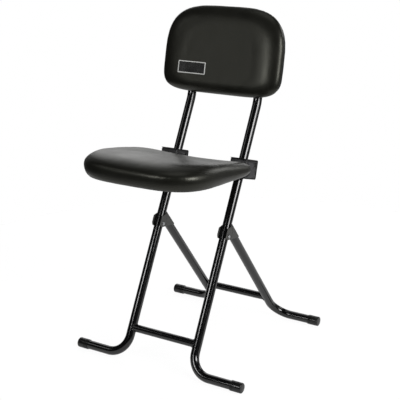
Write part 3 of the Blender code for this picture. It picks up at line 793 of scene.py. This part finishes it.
@dataclass
class RearFrame(TubeLeg):
    """Rear legs with their crossbar and the folded brackets at their upper ends."""

    body: Body = Body.REAR
    prefix: str = "rear"
    offset: float = 27 * MM
    top_start: float = 10 * MM
    edge: float = 0.5 * MM
    crease_foot: Pair = (12.5 * MM, -10.5 * MM)
    crease_lean: float = math.radians(17.5)
    crease_half: float = 2.0 * MM
    crease_rise: float = 1.0 * MM
    cheek_reach: float = 14 * MM
    crease_smooth: float = math.radians(25)
    cut_pitch: float = 4 * MM
    cut_count: int = 12
    near: float = 0.1 * MM

    def build(self) -> None:
        """Models the frame's pieces."""
        pivot = middle("pivot_rivet_left")
        pivot.x = 0
        run = self.foot_axis() - pivot
        lean = math.atan2(run.y, -run.z) - math.asin(self.offset / run.length)
        down = Vector((0, math.sin(lean), -math.cos(lean)))
        out = Vector((0, math.cos(lean), math.sin(lean)))
        top = pivot + out * self.offset + down * self.top_start
        for side in Side:
            corners = self.foot_corners(side) + [(top + self.across(side), 0.0)]
            leg = bent_tube(f"rear_leg_{side.word}_tube", corners, self.radius, self.wall)
            dress(leg, self.body, Slot.ENAMEL, ENAMEL, f"rear_leg_{side.word}")
            self.cap(side)
            self.bracket(side, pivot)
        self.crossbar(down)

    def bracket(self, side: Side, pivot: Vector) -> None:
        """Models a folded bracket with a pressed crease down each cheek, between the rivet and the leg.

        The cheeks are cut into small faces, so that the painted highlight stays along their edges.

        Args:
            side: Side of the stool.
            pivot: Point of the rivets' axis in the middle plane.
        """
        node = f"pivot_bracket_{side.word}"
        piece = eased(node, f"fold_bracket_{side.word}", self.edge)
        foot = pivot + Vector((0, *self.crease_foot))
        square = Vector((0, math.cos(self.crease_lean), -math.sin(self.crease_lean)))
        lengthwise = ACROSS.cross(square)
        grid = [number * self.cut_pitch for number in range(-self.cut_count, self.cut_count + 1) if number]
        cuts = [(square, step) for step in (-self.crease_half, 0.0, self.crease_half, *grid)]
        cuts += [(lengthwise, step) for step in grid]
        for normal, step in cuts:
            with editing(piece):
                bpy.ops.mesh.bisect(plane_co=foot + normal * step, plane_no=normal)
        leg = side.value * self.spacing / 2
        for vertex in piece.data.vertices:
            across = vertex.co.x - leg
            if abs(across) > self.cheek_reach and abs((vertex.co - foot).dot(square)) < self.near:
                vertex.co.x += math.copysign(self.crease_rise, across)
        smooth(piece, self.crease_smooth)
        dress(piece, self.body, Slot.POWDER, BRACKET, node)


@dataclass
class Screws:
    """Pan head screws with a cross recess, modelled once and copied to each place."""

    head_radius: float = 5.8 * MM
    head_height: float = 3 * MM
    shank_radius: float = 2.8 * MM
    shank_length: float = 16 * MM
    tip: float = 1 * MM
    slot_length: float = 5.6 * MM
    slot_width: float = 1.2 * MM
    slot_depth: float = 1.6 * MM
    sides: int = 32
    on_each_pad: int = 4

    def pattern(self) -> bpy.types.Object:
        """Models one screw with its head's seat at zero height and its head upwards.

        Returns:
            The screw, to be taken away once it has been copied.
        """
        rings = dome(self.head_radius, self.head_height) + [(self.head_radius, 0.0), (self.shank_radius, 0.0)]
        rings += [(self.shank_radius, self.tip - self.shank_length)]
        rings += [(self.shank_radius - self.tip, -self.shank_length)]
        screw = turned("screw_pattern", rings, Matrix.Identity(4), self.sides)
        for turn in (0, math.pi / 2):
            deselect()
            bpy.ops.mesh.primitive_cube_add(size=1, location=(0, 0, self.head_height), rotation=(0, 0, turn))
            cutter = bpy.context.active_object
            cutter.scale = (self.slot_length, self.slot_width, 2 * self.slot_depth)
            finish_with(screw, "BOOLEAN", operation="DIFFERENCE", solver="EXACT", object=cutter)
            bpy.data.objects.remove(cutter, do_unlink=True)
        smooth(screw)
        return screw

    def build(self) -> None:
        """Copies the screw to each screw's place."""
        pattern = self.pattern()
        for prefix, axis, body in (("back", -BACK_FACING, Body.FRONT), ("seat", SEAT_DOWN, Body.SEAT)):
            for number in range(1, self.on_each_pad + 1):
                node = f"{prefix}_screw_{number}"
                piece = pattern.copy()
                piece.data = pattern.data.copy()
                piece.name = piece.data.name = f"{prefix}_fastener_{number}"
                bpy.context.scene.collection.objects.link(piece)
                tips = [v.co.dot(axis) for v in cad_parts[node].data.vertices]
                head = middle(node)
                head += axis * (max(tips) - self.head_height - head.dot(axis))
                piece.data.transform(along(axis, head))
                dress(piece, body, Slot.ZINC, ZINC, node)
        bpy.data.objects.remove(pattern, do_unlink=True)


@dataclass
class SeatCarriage:
    """Sleeves, rod, clamps, lock pins and arms that carry the seat on the tubes."""

    sheet: float = 2.5 * MM
    sheet_slack: float = 0.5 * MM
    sheet_edge: float = 0.6 * MM
    sheet_corner: float = 6 * MM
    corner_segments: int = 6
    corner_angle: float = math.radians(60)
    corner_across: float = 0.9
    moulded_edge: float = 0.4 * MM
    arm_edge: float = 0.8 * MM
    board_edge: float = 1 * MM
    pin_radius: float = 4 * MM
    chamfer: float = 0.6 * MM
    moulded: tuple[tuple[str, str], ...] = (
        ("slider_sleeve", "tube_sleeve"),
        ("rod_spacer", "rod_bush"),
        ("rod_cap", "rod_end"),
    )

    def rod(self, node: str, name: str, body: Body, finish: Finish) -> None:
        """Models a round rod across the stool with chamfered ends.

        Args:
            node: Node that it stands for.
            name: Name of the piece.
            body: Body that it rides on.
            finish: Its finish.
        """
        low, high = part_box(node)
        half = (high.x - low.x) / 2
        rings = [(self.pin_radius - self.chamfer, half), (self.pin_radius, half - self.chamfer)]
        rings += [(r, -z) for r, z in reversed(rings)]
        dress(turned(name, rings, along(ACROSS, middle(node))), body, Slot.ZINC, finish, node)

    def clamp(self, side: Side) -> None:
        """Models a folded clamp, with the free corners of its cheeks rounded.

        The corners are the sharp edges that run straight through the sheet from side to side.

        Args:
            side: Side of the stool.
        """
        node = f"seat_clamp_{side.word}"
        piece = copied(node, f"tube_clamp_{side.word}")
        with editing(piece):
            bpy.ops.mesh.dissolve_limited(angle_limit=FLAT_ANGLE)
            bpy.ops.mesh.select_all(action="DESELECT")
            bpy.ops.mesh.select_mode(type="EDGE")
            bpy.ops.mesh.edges_select_sharp(sharpness=self.corner_angle)
            bpy.ops.object.mode_set(mode="OBJECT")
            points = piece.data.vertices
            for edge in piece.data.edges:
                run = points[edge.vertices[1]].co - points[edge.vertices[0]].co
                short = abs(run.length - self.sheet) < self.sheet_slack
                straight = abs(run.x) > self.corner_across * run.length
                edge.select = edge.select and short and straight
            bpy.ops.object.mode_set(mode="EDIT")
            bpy.ops.mesh.bevel(offset=self.sheet_corner, segments=self.corner_segments, affect="EDGES")
            bpy.ops.mesh.select_mode(type="VERT")
        bevel(piece, self.sheet_edge)
        dress(piece, Body.SEAT, Slot.POWDER, POWDER, node)

    def build(self) -> None:
        """Models the carriage's pieces."""
        self.rod("hinge_rod", "seat_hinge_rod", Body.SLIDER, ZINC)
        for side in Side:
            word = side.word
            self.rod(f"lock_pin_{word}", f"seat_lock_pin_{word}", Body.SEAT, BLACKENED)
            self.clamp(side)
            arm = f"seat_arm_{word}"
            dress(eased(arm, f"seat_bar_{word}", self.arm_edge), Body.SEAT, Slot.POWDER, POWDER, arm)
            for node, name in self.moulded:
                piece = eased(f"{node}_{word}", f"{name}_{word}", self.moulded_edge)
                dress(piece, Body.SLIDER, Slot.NYLON, NYLON, f"{node}_{word}")
        dress(eased("seat_pan", "seat_board", self.board_edge), Body.SEAT, Slot.BOARD, BOARD, "seat_pan")


@dataclass
class Pad:
    """A foam pad under tight vinyl, swollen by a cloth simulation from a slightly smaller form."""

    node: str
    name: str
    body: Body
    under: Vector
    shrink: float = 3 * MM
    voxel: float = 4.5 * MM
    pressure: float = 4.0
    most_move: float = 3.5 * MM
    frames: int = 20
    quality: int = 4
    hold: float = 0.8
    cover: float = 1.2 * MM
    cuts: int = 3
    quad_angle: float = math.radians(60)
    ease: float = 0.5
    foam_passes: int = 8
    cover_passes: int = 6
    bed_range: Pair = (0.8, 0.98)
    smooth_angle: float = math.radians(80)
    fill: float = 0.9

    def pattern(self) -> bpy.types.Object:
        """Models the smooth form that the cover is cut to: the solid with its rings divided along curves.

        Returns:
            The form, to be taken away once the pad has settled on it.
        """
        form = copied(self.node, f"{self.name}_pattern")
        with editing(form):
            angles = {"face_threshold": self.quad_angle, "shape_threshold": self.quad_angle}
            bpy.ops.mesh.tris_convert_to_quads(**angles)
            bpy.ops.mesh.select_all(action="SELECT")
            bpy.ops.mesh.subdivide(number_cuts=self.cuts, smoothness=1.0)
        return form

    def foam(self, pattern: bpy.types.Object) -> bpy.types.Object:
        """Models the foam: the pattern drawn in a little and evenly meshed.

        Args:
            pattern: The form that the cover is cut to.

        Returns:
            The pad before it swells.
        """
        activate(pattern)
        bpy.ops.object.duplicate()
        pad = named(self.name)
        with editing(pad):
            bpy.ops.transform.shrink_fatten(value=-self.shrink)
        pad.data.remesh_voxel_size = self.voxel
        activate(pad)
        bpy.ops.object.voxel_remesh()
        finish_with(pad, "SMOOTH", factor=self.ease, iterations=self.foam_passes)
        return pad

    def swell(self, pad: bpy.types.Object) -> None:
        """Swells the pad by cloth pressure and caps how far each point moves.

        Args:
            pad: The pad.
        """
        start = [v.co.copy() for v in pad.data.vertices]
        cloth = pad.modifiers.new("cover", "CLOTH")
        cloth.settings.quality = self.quality
        cloth.settings.use_pressure = True
        cloth.settings.uniform_pressure_force = self.pressure
        cloth.settings.effector_weights.gravity = 0
        cloth.point_cache.frame_start, cloth.point_cache.frame_end = 1, self.frames
        scene = bpy.context.scene
        for number in range(1, self.frames + 1):
            scene.frame_set(number)
        activate(pad)
        bpy.ops.object.modifier_apply(modifier=cloth.name)
        scene.frame_set(1)
        furthest = 0.0
        for vertex, origin in zip(pad.data.vertices, start):
            move = vertex.co - origin
            furthest = max(furthest, move.length)
            if move.length > self.most_move:
                vertex.co = origin + move * (self.most_move / move.length)
        LOG.info("%s swells by up to %.1f mm before the cap", self.name, furthest / MM)

    def settle(self, pad: bpy.types.Object, pattern: bpy.types.Object) -> None:
        """Draws the swollen pad towards its pattern, then takes the pattern away.

        Args:
            pad: The pad.
            pattern: The form that the cover is cut to.
        """
        group = pad.vertex_groups.new(name="cover")
        group.add(range(len(pad.data.vertices)), self.hold, "REPLACE")
        finish_with(
            pad,
            "SHRINKWRAP",
            target=pattern,
            wrap_method="NEAREST_SURFACEPOINT",
            wrap_mode="ABOVE_SURFACE",
            offset=self.cover,
            vertex_group=group.name,
        )
        pad.vertex_groups.clear()
        bpy.data.objects.remove(pattern)
        finish_with(pad, "SMOOTH", factor=self.ease, iterations=self.cover_passes)

    def bed(self, pad: bpy.types.Object) -> None:
        """Flattens the side of the pad that lies on its board.

        Args:
            pad: The pad.
        """
        lowest = max(v.co.dot(self.under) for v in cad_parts[self.node].data.vertices)
        facing = [v.normal.dot(self.under) for v in pad.data.vertices]
        least, full = self.bed_range
        for vertex, cosine in zip(pad.data.vertices, facing):
            share = min(max((cosine - least) / (full - least), 0.0), 1.0)
            vertex.co += self.under * ((lowest - vertex.co.dot(self.under)) * share)

    def build(self) -> bpy.types.Object:
        """Models and dresses the pad.

        Returns:
            The pad.
        """
        pattern = self.pattern()
        pad = self.foam(pattern)
        self.swell(pad)
        finish_with(pad, "SMOOTH", factor=self.ease, iterations=self.cover_passes)
        finish_with(pad, "SUBSURF", levels=1, render_levels=1)
        self.settle(pad, pattern)
        self.bed(pad)
        smooth(pad, self.smooth_angle)
        dress(pad, self.body, Slot.VINYL, VINYL, self.node)
        return pad


@dataclass
class Backrest:
    """Stiff rear shell of the backrest and the blank plate on its pad."""

    pad: bpy.types.Object
    plate_size: Pair = (90 * MM, 35 * MM)
    plate_place: Pair = (-85.5 * MM, -56 * MM)
    plate_cell: float = 2.5 * MM
    plate_corner: float = 1 * MM
    plate_start: float = 100 * MM
    plate_sunk: float = 0.3 * MM
    edge_height: float = 1.3 * MM
    face_height: float = 0.9 * MM
    shell_edge: float = 1.2 * MM
    shell_angle: float = math.radians(50)

    def build(self) -> None:
        """Models the shell and the plate."""
        shell = eased("back_panel", "back_shell", self.shell_edge, self.shell_angle)
        dress(shell, Body.FRONT, Slot.NYLON, NYLON, "back_panel")
        self.plate()

    def plate(self) -> None:
        """Models the bordered plate: a grid laid on the pad, its outer cells parted off as the border."""
        place = middle("back_cushion") + ACROSS * self.plate_place[0] + BACK_UP * self.plate_place[1]
        columns, rows = (round(size / self.plate_cell) for size in self.plate_size)
        deselect()
        bpy.ops.mesh.primitive_grid_add(x_subdivisions=columns, y_subdivisions=rows, size=1)
        plate = bpy.context.active_object
        plate.scale = (*self.plate_size, 1)
        plate = named("back_plate_edge")
        width, height = self.plate_size
        inner = [
            abs(p.center.x) < width / 2 - self.plate_cell and abs(p.center.y) < height / 2 - self.plate_cell
            for p in plate.data.polygons
        ]
        for vertex in plate.data.vertices:
            margins = width / 2 - abs(vertex.co.x), height / 2 - abs(vertex.co.y)
            if max(margins) < self.plate_corner / 2:
                vertex.co *= 1 - self.plate_corner / vertex.co.length
        turn = Matrix((ACROSS, BACK_UP, BACK_FACING)).transposed().to_4x4()
        plate.matrix_world = Matrix.Translation(place + BACK_FACING * self.plate_start) @ turn
        finish_with(
            plate,
            "SHRINKWRAP",
            target=self.pad,
            wrap_method="PROJECT",
            use_project_z=True,
            use_positive_direction=False,
            use_negative_direction=True,
            offset=-self.plate_sunk,
        )
        bpy.ops.object.transform_apply(location=True, rotation=True, scale=True)
        with editing(plate):
            bpy.ops.mesh.select_all(action="DESELECT")
            bpy.ops.object.mode_set(mode="OBJECT")
            for polygon, selected in zip(plate.data.polygons, inner):
                polygon.select = selected
            bpy.ops.object.mode_set(mode="EDIT")
            bpy.ops.mesh.separate(type="SELECTED")
        face = next(o for o in bpy.context.selected_objects if o is not plate)
        face.name = face.data.name = "back_plate_face"
        for piece, finish, thickness, slot in (
            # The edge's pale colour is a painted reflection of its metal.
            (plate, PLATE_EDGE_PAINTED_REFLECTION, self.edge_height, Slot.ZINC),
            (face, PLATE_FACE, self.face_height, Slot.NYLON),
        ):
            finish_with(piece, "SOLIDIFY", thickness=thickness, offset=1)
            smooth(piece)
            dress(piece, Body.FRONT, slot, finish)


@dataclass(frozen=True)
class Lamp:
    """A soft box: where it stands, its width and height, how bright its face is, and what it is turned to."""

    name: str
    place: Triple
    size: Pair
    brightness: float
    aim: Triple = (0.0, 0.0, 0.5)

    def hang(self) -> None:
        """Puts the lamp in the scene, unseen by the camera itself."""
        data = bpy.data.lights.new(self.name, "AREA")
        data.shape = "RECTANGLE"
        data.size, data.size_y = self.size
        data.energy = self.brightness * math.pi * self.size[0] * self.size[1]
        holder = bpy.data.objects.new(self.name, data)
        holder.location = self.place
        holder.rotation_euler = (Vector(self.aim) - Vector(self.place)).to_track_quat("-Z", "Y").to_euler()
        holder.visible_camera = False
        bpy.context.scene.collection.objects.link(holder)


@dataclass
class Studio:
    """Pale floor, soft boxes, a pale wall in a dark room, and the camera at the photograph's viewpoint.

    The wall is what shiny pieces mirror. The directions where it starts and is full are given by their part
    towards the rear, and those where it is still full and ends by their part upwards.
    """

    eye: Triple = (1.38212, -2.20612, 1.23856)
    azimuth: float = 31.649
    elevation: float = 16.939
    lens: float = 86.208
    sensor: float = 36.0
    floor_colour: str = "#f2f2f2"
    floor_lift: float = 0.42
    floor_mirrored: float = 0.65
    floor_share: float = 0.9
    floor_radius: float = 1.3
    floor_middle: Pair = (0.0, 0.25)
    floor_drop: float = 0.5 * MM
    floor_sides: int = 96
    room_level: float = 0.02
    wall_level: float = 0.2
    wall_start: Pair = (0.1, 0.6)
    wall_top: Pair = (0.35, 0.6)
    light_level: float = 0.35
    lamps: tuple[Lamp, ...] = (
        Lamp("right_box", (2.22, -0.60, 1.36), (1.05, 0.85), 11.5),
        Lamp("right_card", (2.3, 0.45, 1.2), (0.9, 0.75), 1.5),
        Lamp("left_box", (-0.53, -2.15, 1.33), (0.60, 0.38), 12.0),
        Lamp("left_high_card", (-1.7, -1.42, 1.90), (0.50, 0.50), 1.8),
        Lamp("rear_left_box", (-1.22, 2.12, 1.44), (2.2, 1.6), 1.2),
        Lamp("rear_right_box", (1.0, 2.0, 1.6), (0.9, 0.7), 3.0),
        Lamp("rear_high_box", (-0.9, 1.49, 2.5), (2.4, 0.9), 0.4),
        Lamp("top_box", (0.0, -0.1, 3.1), (1.4, 1.4), 0.7),
    )

    def background(self) -> None:
        """Sets the surroundings: white to the camera, a pale wall in a dark room, and an even soft light."""
        world = bpy.data.worlds.new("surroundings")
        world.use_nodes = True
        bpy.context.scene.world = world
        tree = world.node_tree
        shade = tree.nodes["Background"]
        shade.inputs["Color"].default_value = (1, 1, 1, 1)
        rays = add_node(tree, "LightPath", {}, {})
        towards = add_node(tree, "TexCoord", {}, {})["Generated"]
        parts = add_node(tree, "SeparateXYZ", {}, {0: towards})
        behind = ramp(tree, parts["Y"], self.wall_start, kind="SMOOTHSTEP")
        low = ramp(tree, parts["Z"], self.wall_top[::-1], kind="SMOOTHSTEP")
        wall = add_node(tree, "Math", {"operation": "MULTIPLY"}, {0: behind, 1: low})[0]
        mirrored = ramp(tree, wall, target=(self.room_level, self.wall_level))
        shiny = {0: rays["Is Glossy Ray"], 1: rays["Is Transmission Ray"]}
        bright = add_node(tree, "Math", {"operation": "MAXIMUM"}, shiny)[0]
        around = {MIX_SHARE: bright, NUMBER_B: mirrored}
        lit = add_node(tree, "Mix", {NUMBER_A: self.light_level}, around)[0]
        seen = {MIX_SHARE: rays["Is Camera Ray"], NUMBER_A: lit}
        level = add_node(tree, "Mix", {NUMBER_B: 1.0}, seen)[0]
        tree.links.new(level, shade.inputs["Strength"])

    def floor(self) -> None:
        """Lays the pale floor: nearly clear to the camera, so that pieces folded below it still show."""
        deselect()
        place = (*self.floor_middle, -self.floor_drop)
        bpy.ops.mesh.primitive_circle_add(
            vertices=self.floor_sides, radius=self.floor_radius, fill_type="NGON", location=place
        )
        ground = named("floor")
        material = bpy.data.materials.new("pale_floor")
        material.use_nodes = True
        tree = material.node_tree
        tree.nodes.remove(tree.nodes["Principled BSDF"])
        rays = add_node(tree, "LightPath", {}, {})
        seen = rays["Is Camera Ray"]
        matt = add_node(tree, "BsdfDiffuse", {"Color": linear(self.floor_colour)}, {})[0]
        times = {"operation": "MULTIPLY"}
        lift = add_node(tree, "Math", times | {1: self.floor_lift}, {0: seen})[0]
        lifted = add_node(tree, "Emission", {}, {"Strength": lift})[0]
        pale = add_node(tree, "AddShader", {}, {0: matt, 1: lifted})[0]
        glow = add_node(tree, "Emission", {"Strength": self.floor_mirrored}, {})[0]
        clear = add_node(tree, "BsdfTransparent", {}, {})[0]
        bright = add_node(tree, "MixShader", {}, {0: seen, 1: glow, 2: clear})[0]
        either = {0: seen, 1: rays["Is Glossy Ray"]}
        direct = add_node(tree, "Math", {"operation": "MAXIMUM"}, either)[0]
        share = add_node(tree, "Math", times | {1: self.floor_share}, {0: direct})[0]
        mixed = add_node(tree, "MixShader", {}, {0: share, 1: pale, 2: bright})[0]
        tree.links.new(mixed, tree.nodes["Material Output"].inputs["Surface"])
        ground.data.materials.append(material)

    def camera(self) -> None:
        """Sets the camera."""
        data = bpy.data.cameras.new("viewpoint")
        data.sensor_width = self.sensor
        data.lens = self.lens
        holder = bpy.data.objects.new("viewpoint", data)
        holder.location = self.eye
        holder.rotation_euler = (math.radians(90 - self.elevation), 0, math.radians(self.azimuth))
        bpy.context.scene.collection.objects.link(holder)
        bpy.context.scene.camera = holder

    def build(self) -> None:
        """Builds the studio."""
        bpy.context.scene.view_settings.view_transform = "Standard"
        self.background()
        self.floor()
        for lamp in self.lamps:
            lamp.hang()
        self.camera()


def main() -> None:
    """Builds the stool's pieces and the studio."""
    logging.basicConfig(level=logging.INFO, format="%(message)s")
    FrontFrame().build()
    RearFrame().build()
    SeatCarriage().build()
    Screws().build()
    Pad("seat_cushion", "seat_pad", Body.SEAT, SEAT_DOWN).build()
    back = Pad("back_cushion", "back_pad", Body.FRONT, -BACK_FACING).build()
    Backrest(back).build()
    Studio().build()


if __name__ == "__main__":
    main()
